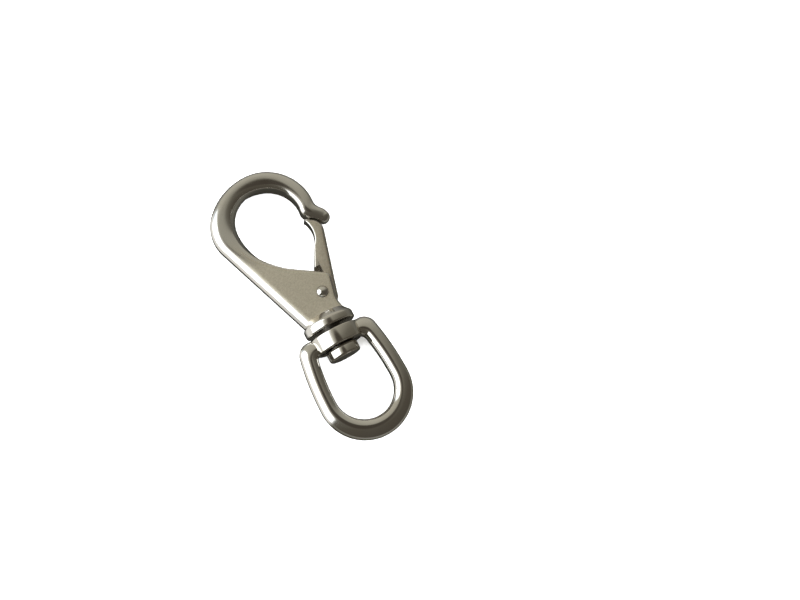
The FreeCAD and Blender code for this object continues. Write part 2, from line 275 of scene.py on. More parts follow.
def cut_with(obj, tools):
    """Boolean difference, applied."""
    for tool in tools:
        cutter = make_object("cutter", tool)
        change = obj.modifiers.new("cut", "BOOLEAN")
        change.operation = "DIFFERENCE"
        change.solver = "EXACT"
        change.object = cutter
        bpy.context.view_layer.update()
        graph = bpy.context.evaluated_depsgraph_get()
        fresh = bpy.data.meshes.new_from_object(obj.evaluated_get(graph))
        obj.modifiers.clear()
        old = obj.data
        obj.data = fresh
        bpy.data.meshes.remove(old)
        bpy.data.objects.remove(cutter)
    finish_shading(obj)


# ------------------------------------------------------------------ hook casting: sizes
HALF = 4.5                        # half the hook's thickness
BACK_ROUND = 4.0                  # rounding of the outer edge
CHEEK_ROUND = 1.3                 # rounding of the cheeks' inner edges
BACK_LEAN = 19.7                  # direction that the straight back faces, past -X
TOP_SLOPE = 31.0                  # slope of the cheeks' top edge
SHANK_BOTTOM = 31.0

SLOT_HALF = 3.0
SLOT_FLOOR_X = -2.5
SLOT_TOP = 62.0
SLOT_BOTTOM = 34.3
SLOT_MARGIN = 0.02                # no slot nearer to its floor's line than this
FAR_RIGHT = 20.0                  # past the hook's right edge
PIVOT = np.array([3.2, 41.5])

BOW = np.array([-2.1, 78.0])      # centre of the bearing arc inside the bow
BOW_R = 13.4
THROAT_R = 26.7
THROAT = BOW + [THROAT_R - BOW_R, 0]
THROAT_STEPS = 80
CHEEK_CORNER = np.array([9.8, 47.3])
CHEEK_CORNER_R = 2.8
CHEEK_FOOT = np.array([7.6, 38.2])
FLARE_R = 9.0                     # from the cheek's right edge out to the collar
FLARE_END = 206.0

TOP = np.array([-1.4, 99.4])      # crown of the bow
SIDE_R, CROWN_R, BACK_R = 19.7, 26.6, 16.4
SIDE_C = TOP - [0, SIDE_R]
CROWN_C = TOP - [0, CROWN_R]
CROWN_TO_BACK = 141.0
BACK_C = CROWN_C + (CROWN_R - BACK_R) * heading(CROWN_TO_BACK)
BEAK_START = -8.0

LAND = 3.1                        # half the height of the flat land inside the bow
DOME = 3.1                        # width of the dome that rises from the land
BOW_LIFT = np.array([0.4, 0.68])  # the dome's middle point, as shares of its width and rise
CHEEK_LIFT = np.array([0.293, 0.707])
LEAN_RIGHT, LEAN_LEFT = 0.25, 1.6
ARCH_TOP_BEAK, ARCH_TOP_BOW = 0.42, 0.62

# inner edge, outer edge, half thickness, half the land's height, dome's width: from the tip to the bow
BEAK_SHAPES = (
    ((16.25, 69.0), (21.35, 71.7), 3.15, 1.3, 2.7),
    ((14.4, 70.6), (20.8, 73.1), 3.6, 2.0, 2.7),
    ((12.2, 72.6), (19.7, 74.3), 4.1, 2.5, 2.9),
    ((11.1, 75.1), (18.6, 75.9), 4.4, 2.9, 3.0),
)
BEAK_LIFT = (0.35, 0.68)
BEAK_FLAT = 0.05                  # what is left between the dome and the outer rounding
BEAK_STEPS = 10
BEAK_LANDING = 6                  # bow ring that gives the beak's direction where it meets the bow
TIP_LENGTH = 3.0
TIP_ANGLES = (88, 80, 70, 60, 50, 40, 30, 20, 10)

NOSE = np.array([11.2, 66.4])     # centre of the gate's round nose, which the beak's seat follows
NOSE_R = 5.5
SEAT_GAP = 0.25
CUT_REACH = 12.0                  # a cutter's reach past the metal, up and down

# the inner wall's points, as shares of the land's lean and of half its height
WALL_POINTS = ((0.7, -0.7), (0.0, -0.12), (0.0, 0.12), (0.7, 0.7))
DOME_POINTS = 12
FLAT_SHARES = np.array([0.04, 0.25, 0.5, 0.75, 0.96])
OUTER_POINTS = 18
ARCH_POINTS = 40
RISE_POINTS = 14
FALL_POINTS = DOME_POINTS + len(FLAT_SHARES) + OUTER_POINTS - RISE_POINTS + 1


# ------------------------------------------------------------------ hook casting: paths
def inner_path():
    """Bearing arc, throat, top edge, corner, right edge and flare, from the beak down."""
    ray = SIDE_C - BOW
    out = heading(BEAK_START)
    slant = float(ray @ out)
    reach = math.sqrt(slant * slant - float(ray @ ray) + BOW_R ** 2) - slant
    beak_in = SIDE_C + out * reach
    throat_end = 270 - TOP_SLOPE
    top = THROAT + THROAT_R * heading(throat_end)
    upward = -heading(throat_end)
    centre, start, end = round_corner(top, CHEEK_CORNER, CHEEK_FOOT, CHEEK_CORNER_R)
    run = (CHEEK_FOOT - end) / np.linalg.norm(CHEEK_FOOT - end)
    right = np.array([-run[1], run[0]])
    flare = CHEEK_FOOT + right * FLARE_R
    points, normals = join([
        arc_run(BOW, BOW_R, angle_of(beak_in - BOW), 180, 170, 1),
        arc_run(THROAT, THROAT_R, 180, throat_end, THROAT_STEPS, 1),
        line_run(top, start, 30, -upward),
        arc_run(centre, CHEEK_CORNER_R, angle_of(upward), angle_of(right), 26, -1),
        line_run(end, CHEEK_FOOT, 24, -right),
        arc_run(flare, FLARE_R, angle_of(-right) % 360, FLARE_END, 20, 1),
    ])
    return join([(points, normals), line_run(points[-1], (points[-1][0], SHANK_BOTTOM), 3, (-1, 0))])


def outer_path():
    """Side, crown, back's arc and straight back, from the beak round to the shank."""
    back_end = 180 + BACK_LEAN
    back_start = BACK_C + BACK_R * heading(back_end)
    along = heading(BACK_LEAN - 90)
    low = back_start + along * ((SHANK_BOTTOM - back_start[1]) / along[1])
    return join([
        arc_run(SIDE_C, SIDE_R, BEAK_START, 90, 150, -1),
        arc_run(CROWN_C, CROWN_R, 90, CROWN_TO_BACK, 90, -1),
        arc_run(BACK_C, BACK_R, CROWN_TO_BACK, back_end, 90, -1),
        line_run(back_start, low, 200, heading(BACK_LEAN)),
    ])


def slot_floor():
    """The slot's floor: straight down, round the gate's hub, and out along the bottom."""
    reach = PIVOT[0] - SLOT_FLOOR_X
    arc = PIVOT + reach * heading(np.linspace(180, 270, 30))
    drop = arc[-1][1] - SLOT_BOTTOM
    bottom = [[PIVOT[0] + drop, SLOT_BOTTOM], [FAR_RIGHT, SLOT_BOTTOM]]
    return np.concatenate([[[SLOT_FLOOR_X, SLOT_TOP]], arc, bottom])


def slot_floor_hit(a, b):
    """Where the run from a to b meets the slot's floor, or None."""
    floor = slot_floor()
    d = b - a
    for p, q in zip(floor[:-1], floor[1:]):
        e = q - p
        cross = d[0] * e[1] - d[1] * e[0]
        if abs(cross) < PARALLEL:
            continue
        w = p - a
        t = (w[0] * e[1] - w[1] * e[0]) / cross
        s = (w[0] * d[1] - w[1] * d[0]) / cross
        if 0 < t < 1 and -NEARLY <= s <= 1 + NEARLY:
            return a + d * t
    return None


def slot_ends(here, following, facing):
    """How deep the slot is on the run from here to the facing point: a list of its ends, None for no slot.

    At the slot's bottom there are two sections in one place, with the slot and without it.
    """
    if here[0] <= SLOT_FLOOR_X + SLOT_MARGIN or here[1] <= SLOT_BOTTOM:
        return [None]
    hit = slot_floor_hit(here, facing)
    if hit is None:
        return [None]
    return [hit, None] if following[1] <= SLOT_BOTTOM else [hit]


# ------------------------------------------------------------------ hook casting: sections
def bulge(start, peak, end, count):
    """Quarter ellipse from start up to the peak, then another down to end, in (across, z)."""
    t = np.linspace(0, math.pi / 2, count)
    sin, cos = np.sin(t), np.cos(t)
    rise = np.column_stack([peak[0] - (peak[0] - start[0]) * cos, start[1] + (peak[1] - start[1]) * sin])
    fall = np.column_stack([peak[0] + (end[0] - peak[0]) * sin, end[1] + (peak[1] - end[1]) * cos])
    return rise, fall


def plain_profile(width, half, back, form):
    """Dome, flat and outer rounding as (distance from the inner edge, z)."""
    wide, land, lean = form["wide"], form["land"], form["lean"]
    rim = half * (1 - BACK_ROUND / HALF)
    middle = (lean + (wide - lean) * form["lift"][0], land + (half - land) * form["lift"][1])
    dome = three_point_arc((lean, land), middle, (wide, half), DOME_POINTS)
    flat = np.column_stack([wide + (width - back - wide) * FLAT_SHARES, np.full(len(FLAT_SHARES), half)])
    t = np.linspace(0, math.pi / 2, OUTER_POINTS)
    inset = back - back * np.sin(t)
    outer = np.column_stack([width - inset, rim + (half - rim) * np.cos(t)])
    return np.concatenate([dome, flat, outer])


def arched_profile(width, half, form):
    """One arch from the land to the outer rim, with as many points as the plain profile."""
    rim = half * (1 - BACK_ROUND / HALF)
    peak = (width * form["top"], half)
    up, down = bulge((form["lean"], form["land"]), peak, (width, rim), ARCH_POINTS)
    return np.concatenate([evenly(up, RISE_POINTS), evenly(down, FALL_POINTS)[1:]])


def section(inner, inner_normal, outer, outer_normal, half, back, form, slot_end=None):
    """Closed D-shaped ring across the metal, from the inner wall round to the outer edge and back.

    form: land and wide shape the dome with lift, lean is how far the land's upper rim stands back from its
    middle, crown arches the flat (1) or leaves it flat (0), and top is where the arch is highest, as a share
    of the width.
    """
    wide = form["wide"]
    width = np.linalg.norm(outer - inner)
    profile = plain_profile(width, half, back, form)
    if form["crown"] > 0:
        profile = mixed(profile, arched_profile(width, half, form), form["crown"])
    flat_start, flat_end = inner + inner_normal * wide, outer + outer_normal * back

    def across(d):
        """Point of the mid-plane at the distance d from the inner edge."""
        if d <= wide:
            return inner + inner_normal * d
        if d >= width - back:
            return outer + outer_normal * (width - d)
        return mixed(flat_start, flat_end, (d - wide) / (width - back - wide))

    upper = np.array([np.append(across(d), z) for d, z in profile])
    if slot_end is None:
        wall = [(inner + inner_normal * form["lean"] * back_share, form["land"] * height_share)
                for back_share, height_share in WALL_POINTS]
    else:
        wall = [(inner, -SLOT_HALF), (slot_end, -SLOT_HALF), (slot_end, SLOT_HALF), (inner, SLOT_HALF)]
    wall = np.array([np.append(p, z) for p, z in wall])
    return np.concatenate([wall, upper, upper[::-1] * [1, 1, -1]])


def hook_form(fade, around, on_bow):
    """Section's form. fade: 0 on the bow to 1 on the cheeks. around: degrees about the bow's centre."""
    lean = mixed(LEAN_RIGHT, LEAN_LEFT, smooth_step(around, 70, 150)) * (1 - smooth_step(fade, 0.1, 0.8))
    crown = 1 - smooth_step(fade, 0.15, 0.75)
    return {
        "land": mixed(LAND, HALF - CHEEK_ROUND, fade),
        "wide": mixed(DOME, CHEEK_ROUND, fade),
        "lift": mixed(BOW_LIFT, CHEEK_LIFT, fade),
        "lean": lean if on_bow else 0,
        "crown": crown if on_bow else 0,
        "top": mixed(ARCH_TOP_BEAK, ARCH_TOP_BOW, smooth_step(around, 25, 80)),
    }


def hook_sections():
    """Rings across the hook's metal, from the beak's root round the bow and down to the shank."""
    inner, inner_normals = inner_path()
    outer, outer_normals = outer_path()
    inner_s, outer_s = length_along(inner), length_along(outer)
    inner_turn, outer_turn = turn_about(BOW, inner), turn_about(BOW, outer)
    half_turn = int(np.argmax(inner_turn >= math.pi - NEARLY))
    throat_end = half_turn + THROAT_STEPS - 1
    outer_half = float(np.interp(math.pi, outer_turn, outer_s))
    outer_throat = outer_s[-1] + float((inner[throat_end] - outer[-1]) @ heading(BACK_LEAN - 90))

    def share(k, first, last):
        return (inner_s[k] - inner_s[first]) / (inner_s[last] - inner_s[first])

    def facing_length(k):
        """Distance along the outer path of the point that faces inner point k."""
        if k <= half_turn:
            return float(np.interp(inner_turn[k], outer_turn, outer_s))
        if k <= throat_end:
            return mixed(outer_half, outer_throat, share(k, half_turn, throat_end))
        return mixed(outer_throat, outer_s[-1], share(k, throat_end, len(inner) - 1))

    rings = []
    for k, here in enumerate(inner):
        s = facing_length(k)
        facing = at_length(s, outer_s, outer)
        facing_normal = at_length(s, outer_s, outer_normals)
        facing_normal /= np.linalg.norm(facing_normal)
        fade = float(np.clip(share(k, half_turn, throat_end), 0, 1))
        form = hook_form(fade, math.degrees(inner_turn[k]), k <= throat_end)
        following = inner[min(k + 1, len(inner) - 1)]
        ends = slot_ends(here, following, facing) if k > half_turn else [None]
        for end in ends:
            rings.append(section(here, inner_normals[k], facing, facing_normal, HALF, BACK_ROUND, form, end))
    return rings


def spline_rings(rings, steps):
    """Smooth skin through control rings, by cubic runs through each point."""
    rings = np.asarray(rings)
    t = length_along(rings.mean(axis=1))
    slopes = np.empty_like(rings)
    for k in range(1, len(rings) - 1):
        h0, h1 = t[k] - t[k - 1], t[k + 1] - t[k]
        d0 = (rings[k] - rings[k - 1]) / h0
        d1 = (rings[k + 1] - rings[k]) / h1
        slopes[k] = (d0 * h1 + d1 * h0) / (h0 + h1)
    slopes[0] = (rings[1] - rings[0]) / (t[1] - t[0])
    slopes[-1] = (rings[-1] - rings[-2]) / (t[-1] - t[-2])
    smooth = []
    for k in range(len(rings) - 1):
        h = t[k + 1] - t[k]
        for u in np.linspace(0, 1, steps, endpoint=False):
            h00, h10 = 2 * u ** 3 - 3 * u ** 2 + 1, u ** 3 - 2 * u ** 2 + u
            h01, h11 = -2 * u ** 3 + 3 * u ** 2, u ** 3 - u ** 2
            smooth.append(h00 * rings[k] + h10 * h * slopes[k] + h01 * rings[k + 1] + h11 * h * slopes[k + 1])
    smooth.append(rings[-1])
    return smooth


def beak_rings(bow_rings):
    """Beak's rings from its round tip back to the bow's first ring."""
    controls = []
    for inner, outer, half, land, wide in BEAK_SHAPES:
        inner, outer = np.array(inner), np.array(outer)
        width = np.linalg.norm(outer - inner)
        u = (outer - inner) / width
        form = {"land": land, "wide": wide, "lift": BEAK_LIFT, "lean": LEAN_RIGHT, "crown": 1.0,
                "top": ARCH_TOP_BEAK}
        controls.append(section(inner, u, outer, -u, half, width - wide - BEAK_FLAT, form))
    body = spline_rings(controls + [bow_rings[0], bow_rings[BEAK_LANDING]], BEAK_STEPS)[:-BEAK_STEPS]
    tip = body[0]
    inner, outer = np.array(BEAK_SHAPES[0][0]), np.array(BEAK_SHAPES[0][1])
    u = (outer - inner) / np.linalg.norm(outer - inner)
    ahead = np.array([u[1], -u[0], 0])
    middle = np.append((inner + outer) / 2, 0)
    cap = []
    for a in np.radians(TIP_ANGLES):
        cap.append(middle + (tip - middle) * math.cos(a) + ahead * TIP_LENGTH * math.sin(a))
    return cap + body


def hook_skin():
    rings = hook_sections()
    return shell(beak_rings(rings) + rings[1:])


def collar_skin():
    corners = [(0, 27.2), (10.7, 27.2), (10.7, 30.4), (8.2, 33.2), (0, 33.2)]
    return turned(fillet_profile(corners, (0, 0.7, 1.8, 0.5, 0), 12), "Y")


# ------------------------------------------------------------------ gate
GATE_HALF = 2.8
GATE_LEAN = 16.2                    # direction that the gate's straight outer edge faces, below +X
GATE_DOWN = heading(270 - GATE_LEAN)
GATE_TOP = NOSE + NOSE_R * heading(-GATE_LEAN)
NOSE_END = 94.0                     # direction of the nose's inner corner from its centre
GATE_WAIST = (9.4, 60.2)
GATE_INNER_MIDDLE = (12.0, 66.4)
HEEL_FOOT = np.array([5.4, 52.2])
HEEL = np.array([4.6, 50.6])
HUB_R = 5.0
HUB_START = 165.0
HUB_CORNER = 1.8
HUB_EDGE, TAIL_EDGE, OUTER_EDGE, INNER_EDGE, HEEL_EDGE = 0.4, 0.8, 1.5, 0.45, 0.3
EDGE_BLEND = 7                      # outline points over which the edge's rounding is averaged
POCKET_HALF = 1.7
POCKET_WALL = 2.0
POCKET_TOP, POCKET_FOOT = 50.6, 38.1
NOTCH_TOP, NOTCH_FOOT = 52.2, 48.9
NOTCH_RIGHT = 7.7
PAST_LEFT, PAST_TOP = -6.0, 6.0     # past the gate's metal


def gate_edge(y):
    """Point of the gate's straight outer edge at a height."""
    return GATE_TOP + GATE_DOWN * ((y - GATE_TOP[1]) / GATE_DOWN[1])


def gate_outline():
    """Gate outline, counter-clockwise from the hub, with the edge's rounding at each point."""
    tail = gate_edge(PIVOT[1] - HUB_R)
    hub_low = PIVOT - [0, HUB_R]
    centre, start, end = round_corner(GATE_TOP, tail, hub_low, HUB_CORNER)
    nose = np.linspace(-GATE_LEAN, NOSE_END, 60)[1:]
    nose_edge = mixed(INNER_EDGE, OUTER_EDGE, smooth_step(NOSE_END - nose, 2, 28))
    inner = three_point_arc(GATE_WAIST, GATE_INNER_MIDDLE, NOSE + NOSE_R * heading(NOSE_END), 40)
    hub_left = PIVOT + HUB_R * heading(HUB_START)
    runs = [
        (PIVOT + HUB_R * heading(np.linspace(HUB_START, 270, 40)), HUB_EDGE),
        (straight(hub_low, end, 8)[1:], TAIL_EDGE),
        (centre + HUB_CORNER * heading(np.linspace(-90, -GATE_LEAN, 16))[1:], OUTER_EDGE),
        (straight(start, GATE_TOP, 60)[1:], OUTER_EDGE),
        (NOSE + NOSE_R * heading(nose), nose_edge),
        (inner[::-1][1:], INNER_EDGE),
        (straight(GATE_WAIST, HEEL_FOOT, 16)[1:], INNER_EDGE),
        (straight(HEEL_FOOT, HEEL, 5)[1:], HEEL_EDGE),
        (straight(HEEL, hub_left, 16)[1:-1], HEEL_EDGE),
    ]
    points = np.concatenate([run for run, _ in runs])
    widths = np.concatenate([np.zeros(len(run)) + width for run, width in runs])
    beside = EDGE_BLEND // 2
    padded = np.concatenate([widths[-beside:], widths, widths[:beside]])
    return points, np.convolve(padded, np.ones(EDGE_BLEND) / EDGE_BLEND, "valid")


def gate_pocket():
    """Hollow of the gate's tail, open towards the slot's floor."""
    inward = heading(180 - GATE_LEAN) * POCKET_WALL
    high, low = gate_edge(POCKET_TOP) + inward, gate_edge(POCKET_FOOT) + inward
    return prism([(PAST_LEFT, high[1]), (PAST_LEFT, low[1]), low, high], -POCKET_HALF, POCKET_HALF)


def gate_notch():
    """Notch in the heel's upper side, down to the far wall of the pocket."""
    left = PAST_LEFT + 2
    corners = [(left, NOTCH_FOOT), (NOTCH_RIGHT, NOTCH_FOOT), (NOTCH_RIGHT, NOTCH_TOP), (left, NOTCH_TOP)]
    return prism(corners, -POCKET_HALF, PAST_TOP)


# ------------------------------------------------------------------ swivel eye, pin, rivet, spring
EYE_HALF = 4.0
EYE_INNER_ROUND, EYE_OUTER_ROUND = 2.5, 3.6
EYE_WALL_HALF = 0.8                 # half the height of the flat wall inside the eye
EYE_PEAK_IN = 0.5                   # how far past the inner rounding the bar is thickest
BORE_R = 4.08
PIN_LOW, PIN_HIGH = 14.4, 30.0
RIVET_R, RIVET_HEAD_R = 1.6, 2.4
RIVET_TOP, RIVET_HEAD_RISE = 6.0, 1.5
WIRE_R = 0.35
COIL_R, COIL_PITCH = 2.45, 0.85
GATE_LEG, FLOOR_LEG = 66.0, 108.0   # directions of the spring's legs
GATE_LEG_LENGTH, FLOOR_LEG_LENGTH = 10.6, 9.7
LEG_START = 0.4


def eye_path(reach, leg_r, low_y, top_y, radius):
    """Closed path: up the right leg, over the top, down the left leg and round the bottom."""
    ys = np.linspace(low_y, top_y - radius, 60)
    right = np.column_stack([reach - (ys - low_y) ** 2 / (2 * leg_r), ys])
    run = right[-1] - right[-2]
    run /= np.linalg.norm(run)
    at = right[-1] + run * (top_y - right[-1][1]) / run[1]
    centre, start, end = round_corner(right[-1], at, at - [1, 0], radius)
    corner = centre + radius * heading(np.linspace(angle_of(start - centre), 90, 24))
    half = np.concatenate([right, corner[1:], straight(end, (0, top_y), 24)[1:]])
    mirrored = (half * [-1, 1])[::-1][1:]
    bottom = np.array([0, low_y]) + reach * heading(np.linspace(180, 360, 120))
    return np.concatenate([half, mirrored, bottom[1:-1]])


def eye_section(inner, outer):
    """Closed ring across the eye's bar."""
    width = float(np.linalg.norm(outer - inner))
    peak = (EYE_INNER_ROUND + EYE_PEAK_IN, EYE_HALF)
    up, down = bulge((0, EYE_HALF - EYE_INNER_ROUND), peak, (width, EYE_HALF - EYE_OUTER_ROUND), 16)
    across = (outer - inner) / width
    upper = np.array([np.append(inner + across * d, z) for d, z in np.concatenate([up, down[1:]])])
    wall = [np.append(inner, -EYE_WALL_HALF), np.append(inner, EYE_WALL_HALF)]
    return np.concatenate([wall, upper, upper[::-1] * [1, 1, -1]])


def eye_skin():
    outer = eye_path(reach=19.3, leg_r=113.0, low_y=-1.3, top_y=26.2, radius=5.5)
    inner = eye_path(reach=12.3, leg_r=95.0, low_y=0.0, top_y=19.2, radius=2.0)
    return shell([eye_section(i, o) for i, o in zip(inner, outer)], close_rows=True)


def boss_skin():
    corners = [(BORE_R, 22.0), (BORE_R, 19.2), (10.2, 19.2), (10.2, 25.7), (BORE_R, 25.7), (BORE_R, 22.0)]
    profile = fillet_profile(corners, (0, 0.25, 0.6, 0.6, 0.25, 0), 8)
    return turned(profile[:-1], "Y", ring_shaped=True)


def pin_skin():
    corners = [(0, PIN_LOW), (6.7, PIN_LOW), (6.7, 18.9), (4.0, 18.9), (4.0, PIN_HIGH), (0, PIN_HIGH)]
    return turned(fillet_profile(corners, (0, 1.1, 1.1, 0, 0, 0), 12), "Y")


def rivet_skin():
    dome_r = (RIVET_HEAD_R ** 2 + RIVET_HEAD_RISE ** 2) / (2 * RIVET_HEAD_RISE)
    a = np.linspace(0, math.asin(RIVET_HEAD_R / dome_r), 16)
    head = np.column_stack([dome_r * np.sin(a), RIVET_TOP - dome_r + dome_r * np.cos(a)])
    shank = [(RIVET_R, HALF), (RIVET_R, -HALF)]
    profile = np.concatenate([head, shank, head[::-1] * [1, -1]])
    return turned(profile, "Z", 96, (PIVOT[0], PIVOT[1], 0))


def spring_paths():
    """Coil with the gate's leg, and the leg on the slot's floor."""
    start, end = GATE_LEG - 90, FLOOR_LEG + 90
    turns = 2 + (start - end + 360) / 360
    t = np.linspace(0, 1, 220)
    angles = start - 360 * turns * t
    coil = np.column_stack([PIVOT + COIL_R * heading(angles), COIL_PITCH * turns * (t - 0.5)])
    gate_along, floor_along = (np.append(heading(leg), 0) for leg in (GATE_LEG, FLOOR_LEG))
    gate_leg = coil[0] + np.outer(np.linspace(GATE_LEG_LENGTH, LEG_START, 24), gate_along)
    floor_leg = coil[-1] + np.outer(np.linspace(0, FLOOR_LEG_LENGTH, 24), floor_along)
    return np.concatenate([gate_leg, coil]), floor_leg


# ------------------------------------------------------------------ shader trees
class Nodes:
    """Short calls that fill an empty shader tree."""

    def __init__(self, tree):
        self.tree = tree
        tree.nodes.clear()

    def new(self, kind, **values):
        made = self.tree.nodes.new(kind)
        for key, value in values.items():
            setattr(made, key, value)
        return made

    def link(self, source, target):
        self.tree.links.new(source, target)

    def noise(self, place, scale, detail, roughness):
        made = self.new("ShaderNodeTexNoise")
        made.inputs["Scale"].default_value = scale
        made.inputs["Detail"].default_value = detail
        made.inputs["Roughness"].default_value = roughness
        self.link(place, made.inputs["Vector"])
        return made.outputs[0]

    def spread(self, source, low, high, to_low=0.0, to_high=1.0, kind="LINEAR"):
        """Maps low to high onto to_low to to_high, held at the ends."""
        made = self.new("ShaderNodeMapRange", interpolation_type=kind)
        for i, value in enumerate((low, high, to_low, to_high)):
            made.inputs[i + 1].default_value = value
        self.link(source, made.inputs[0])
        return made.outputs[0]

    def fade(self, source, ends):
        """0 at the first end, 1 at the other, smooth between."""
        return self.spread(source, ends[0], ends[1], kind="SMOOTHSTEP")

    def calculate(self, operation, first, second):
        made = self.new("ShaderNodeMath", operation=operation)
        self.link(first, made.inputs[0])
        self.link(second, made.inputs[1])
        return made.outputs[0]

    def mix(self, factor, a, b):
        """Colour between a and b, each a socket or a constant colour."""
        made = self.new("ShaderNodeMix", data_type="RGBA")
        self.link(factor, made.inputs[0])
        for value, slot in ((a, 6), (b, 7)):
            if isinstance(value, bpy.types.NodeSocket):
                self.link(value, made.inputs[slot])
            else:
                made.inputs[slot].default_value = (*value, 1)
        return made.outputs[2]

    def mix_value(self, factor, a, b):
        made = self.new("ShaderNodeMix", data_type="FLOAT")
        for source, slot in ((factor, 0), (a, 2), (b, 3)):
            self.link(source, made.inputs[slot])
        return made.outputs[0]

    def ramp(self, source, stops):
        """Colour over a source that runs from -1 to 1."""
        made = self.new("ShaderNodeValToRGB")
        elements = made.color_ramp.elements
        while len(elements) < len(stops):
            elements.new(0.5)
        for element, (position, colour) in zip(elements, stops):
            element.position = (position + 1) / 2
            element.color = (*colour, 1)
        self.link(self.spread(source, -1, 1), made.inputs[0])
        return made.outputs[0]


# ------------------------------------------------------------------ materials
POLISHED = (0.72, 0.70, 0.66)
POLISHED_CLOUD = (0.93, 0.905, 0.87)   # shares of the colour in its darker clouds
SATIN = (0.755, 0.69, 0.56)
GATE_SATIN = (0.66, 0.60, 0.485)
SATIN_BRIGHT = (1.07, 1.07, 1.07)      # shares of the satin's colour in its specks
SATIN_DARK = (0.88, 0.87, 0.85)
SATIN_ROUGH = (0.42, 0.58)
SATIN_BUMP = 0.35
# painted shade, dark: on the pin's stem in the gap between the eye's boss and the collar, and round the rims
# of the rivet's heads
PAINTED_SHADE = (0.10, 0.092, 0.08)
SPRING_GREY = (0.5, 0.5, 0.5)
BUMP_HEIGHT = 0.00004                  # metres


def scaled(colour, shares):
    return tuple(c * share for c, share in zip(colour, shares))


def steel(name, base, rough, rough_vary, bump, grain_scale, satin_and_shade_colour=None):
    """Stainless steel. Given a colour, the SATIN attribute blends it in: a satin finish on the hook and gate,
    painted shade on the pin and rivet.
    """
    material = bpy.data.materials.new(name)
    material.use_nodes = True
    nodes = Nodes(material.node_tree)
    shader = nodes.new("ShaderNodeBsdfPrincipled")
    shader.inputs["Metallic"].default_value = 1.0
    nodes.link(shader.outputs[0], nodes.new("ShaderNodeOutputMaterial").inputs[0])
    place = nodes.new("ShaderNodeTexCoord").outputs["Object"]

    cloud = nodes.noise(place, 55, 3, 0.5)
    stain = nodes.noise(place, 210, 4, 0.6)
    grain = nodes.noise(place, grain_scale, 6, 0.7)
    tint = nodes.mix(nodes.spread(cloud, 0.35, 0.7), base, scaled(base, POLISHED_CLOUD))
    roughness = nodes.spread(stain, 0.3, 0.75, rough - rough_vary, rough + rough_vary)
    height = grain
    bumper = nodes.new("ShaderNodeBump")
    bumper.inputs["Strength"].default_value = bump
    bumper.inputs["Distance"].default_value = BUMP_HEIGHT
    # on the pin and the rivet this blends in painted shade, not a satin finish
    if satin_and_shade_colour:
        share = nodes.new("ShaderNodeAttribute", attribute_name="SATIN").outputs["Fac"]
        speck = nodes.noise(place, 1500, 3, 0.75)
        fine = nodes.noise(place, 6500, 2, 0.5)
        bright, dark = scaled(satin_and_shade_colour, SATIN_BRIGHT), scaled(satin_and_shade_colour, SATIN_DARK)
        blasted_and_shade_tint = nodes.mix(nodes.spread(speck, 0.34, 0.66), bright, dark)
        tint = nodes.mix(share, tint, blasted_and_shade_tint)
        roughness = nodes.mix_value(share, roughness, nodes.spread(grain, 0.3, 0.7, *SATIN_ROUGH))
        height = nodes.mix_value(share, grain, fine)
        nodes.link(nodes.spread(share, 0, 1, bump, SATIN_BUMP), bumper.inputs["Strength"])
    nodes.link(height, bumper.inputs["Height"])
    nodes.link(bumper.outputs[0], shader.inputs["Normal"])
    nodes.link(tint, shader.inputs["Base Color"])
    nodes.link(roughness, shader.inputs["Roughness"])
    return material


hook_steel = steel("hook_steel", POLISHED, 0.13, 0.035, 0.12, 900, SATIN)
gate_steel = steel("gate_steel", POLISHED, 0.13, 0.035, 0.12, 900, GATE_SATIN)
eye_steel = steel("eye_steel", POLISHED, 0.11, 0.03, 0.10, 900)
# the pin and the rivet blend in painted shade through the SATIN attribute
pin_steel = steel("pin_steel", POLISHED, 0.11, 0.03, 0.15, 1100, PAINTED_SHADE)
rivet_steel = steel("rivet_steel", POLISHED, 0.12, 0.04, 0.3, 1800, PAINTED_SHADE)
spring_steel = steel("spring_steel", SPRING_GREY, 0.3, 0.05, 0.3, 2500)


def paint_satin_and_shade(obj, share):
    """Stores the SATIN attribute: where the satin finish goes on the hook and gate, and the painted shade on
    the pin and rivet. share gets points and normals in millimetres and gives 0 to 1.
    """
    mesh = obj.data
    points = np.empty(len(mesh.vertices) * 3)
    mesh.vertices.foreach_get("co", points)
    normals = np.empty(len(mesh.vertices) * 3)
    mesh.vertices.foreach_get("normal", normals)
    value = share(points.reshape(-1, 3) / MM, normals.reshape(-1, 3))
    layer = mesh.attributes.new("SATIN", "FLOAT", "POINT")
    layer.data.foreach_set("value", value.astype(np.float32))


def cheek_satin(points, normals):
    """Blasted flats of the cheeks, fading out up the bow."""
    flat = smooth_step(np.abs(normals[:, 2]), 0.90, 0.985)
    low = 1 - smooth_step(points[:, 1], 58, 78)
    outside = smooth_step(np.abs(points[:, 2]), 4.0, 4.3)
    return flat * low * outside


def no_satin(points, normals):
    return np.zeros(len(points))


def gate_satin(points, normals):
    """Blasted outer flats of the gate."""
    return smooth_step(np.abs(normals[:, 2]), 0.9, 0.99) * (np.abs(points[:, 2]) > 2.6)


def stem_painted_shade(points, normals):
    """Painted shade on the pin's stem, above its head, which shows dark in the gap between the eye's boss and
    the collar.
    """
    return smooth_step(points[:, 1], 18.7, 18.95)


def rim_painted_shade(points, normals):
    """Painted shade round the rim of the rivet's heads, where they sit on the cheeks."""
    return smooth_step(np.linalg.norm(points[:, :2] - PIVOT, axis=1), 1.95, 2.35)


# ------------------------------------------------------------------ pieces
def place_piece(obj, body, node):
    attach(obj, body)
    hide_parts(node)


hook = make_object("hook_casting", hook_skin(), hook_steel)
cut_with(hook, [prism(circle_outline(NOSE, NOSE_R + SEAT_GAP, 360), -CUT_REACH, CUT_REACH)])
paint_satin_and_shade(hook, cheek_satin)
place_piece(hook, "hook", "hook_body")

